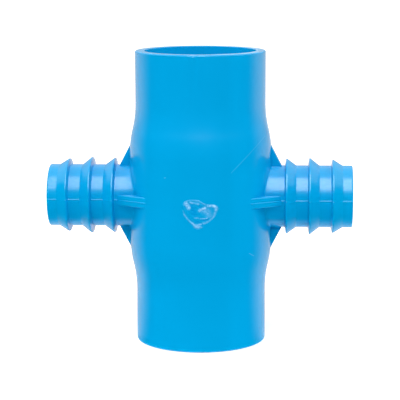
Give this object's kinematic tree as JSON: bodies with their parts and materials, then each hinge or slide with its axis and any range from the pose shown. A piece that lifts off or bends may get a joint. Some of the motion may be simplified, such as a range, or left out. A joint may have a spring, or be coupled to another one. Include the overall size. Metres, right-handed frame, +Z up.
{
  "type": "pvc pipe cross fitting",
  "caption": "Moulded PVC cross: plain slip sockets for rigid pipe in line, with barbed hose tails braced by webs square to them.",
  "frame": {"origin": "where the barrel axis and the hose-tail axis cross, half way between the two end faces", "axes": "+Z up the barrel axis, +X out along the right hose tail, -Y towards the front, the side with the feed mark"},
  "size_m": [0.0936, 0.0441, 0.09],
  "materials": {
    "upvc": "injection-moulded blue uPVC, semi-gloss from a polished mould",
    "upvc_gate_scar": "the same uPVC, torn and slightly whitened at the feed mark"
  },
  "bodies": {
    "root": {"centre_body": "upvc", "gate_vestige": "upvc_gate_scar", "left_barb_inner": "upvc", "left_barb_middle": "upvc", "left_barb_outer": "upvc", "left_gusset_back": "upvc", "left_gusset_bottom": "upvc", "left_gusset_front": "upvc", "left_gusset_top": "upvc", "left_hose_tail": "upvc", "lower_socket": "upvc", "right_barb_inner": "upvc", "right_barb_middle": "upvc", "right_barb_outer": "upvc", "right_gusset_back": "upvc", "right_gusset_bottom": "upvc", "right_gusset_front": "upvc", "right_gusset_top": "upvc", "right_hose_tail": "upvc", "upper_socket": "upvc"}
  },
  "joints": []
}
